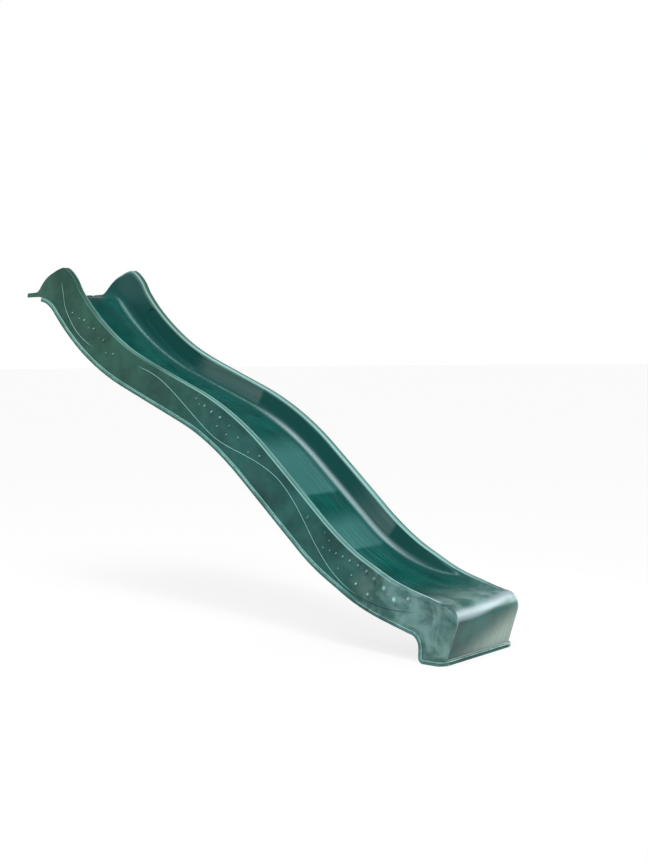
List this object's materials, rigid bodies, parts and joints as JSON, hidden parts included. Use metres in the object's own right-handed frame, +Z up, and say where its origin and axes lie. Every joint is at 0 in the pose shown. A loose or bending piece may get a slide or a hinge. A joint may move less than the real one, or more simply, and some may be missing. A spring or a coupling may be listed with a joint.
{
  "type": "playground slide",
  "caption": "Wave slide chute for a play tower, with raised side walls, a platform flange with hook, a ground foot, screw caps and a hose connector.",
  "frame": {"origin": "on the ground, midway along the slide's overall length and on its middle plane", "axes": "+X from the platform to the exit, +Y to the rider's left, +Z up"},
  "size_m": [2.0595, 0.4112, 1.3083],
  "materials": {
    "moulded_chute": "green moulded polyethylene, satin with fine wear scratches",
    "screw": "zinc plated",
    "screw_cap": "green moulded plastic, satin",
    "connector": "black nylon, satin",
    "seal": "black rubber, matt"
  },
  "bodies": {
    "root": {"slide_chute": "moulded_chute", "deck_screw_left": "screw", "deck_screw_right": "screw", "cap_seat_left": "screw_cap", "cap_seat_right": "screw_cap", "cap_lid_left": "screw_cap", "cap_lid_right": "screw_cap", "hose_inlet": "connector", "inlet_gasket": "seal", "inlet_lock_nut": "connector"}
  },
  "joints": []
}
